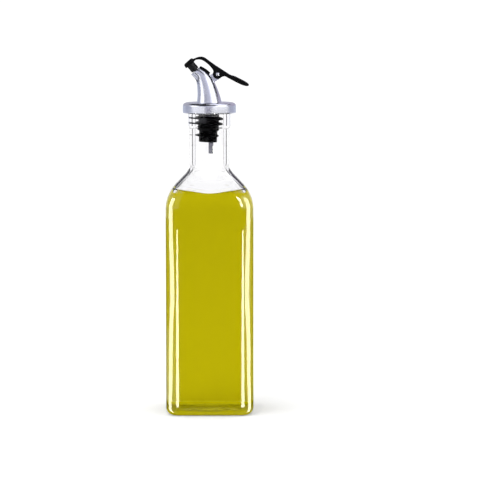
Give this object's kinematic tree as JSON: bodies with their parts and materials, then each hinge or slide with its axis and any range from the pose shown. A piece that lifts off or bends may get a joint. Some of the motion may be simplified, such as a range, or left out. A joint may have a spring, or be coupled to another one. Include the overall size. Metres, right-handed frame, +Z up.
{
  "type": "glass oil dispenser with lever pourer",
  "caption": "Square glass bottle of olive oil with a silver pouring spout, and a black lever that lifts a rubber seal off the spout's mouth.",
  "frame": {"origin": "centre of the bottle's base, on the plane it stands on", "axes": "+Z up along the bottle, -X the way the spout's mouth points, +X the lever's thumb end, -Y the side the picture shows"},
  "size_m": [0.062, 0.062, 0.2533],
  "materials": {
    "clear_glass": "clear pressed soda-lime glass, fire polished",
    "olive_oil": "clear yellow-green olive oil",
    "silver_plastic": "satin silver plating on moulded ABS",
    "black_plastic": "moulded black polypropylene, half gloss",
    "black_rubber": "moulded black rubber, dull",
    "grey_plastic": "extruded grey polyethylene tube"
  },
  "bodies": {
    "dispenser": {"bottle": "clear_glass", "oil": "olive_oil", "bung": "black_rubber", "breather_tube": "grey_plastic", "pourer": "silver_plastic", "back_strip": "black_plastic"},
    "lever": {"lever": "black_plastic", "mouth_seal": "black_rubber"}
  },
  "joints": [
    {"name": "lever_hinge", "type": "hinge", "parent": "dispenser", "child": "lever", "pos_m": [0.0059, 0, 0.241], "axis": [0, 1, 0], "range_deg": [0, 35], "stiffness_Nm_per_rad": 0.01, "springref_deg": -28.65}
  ]
}
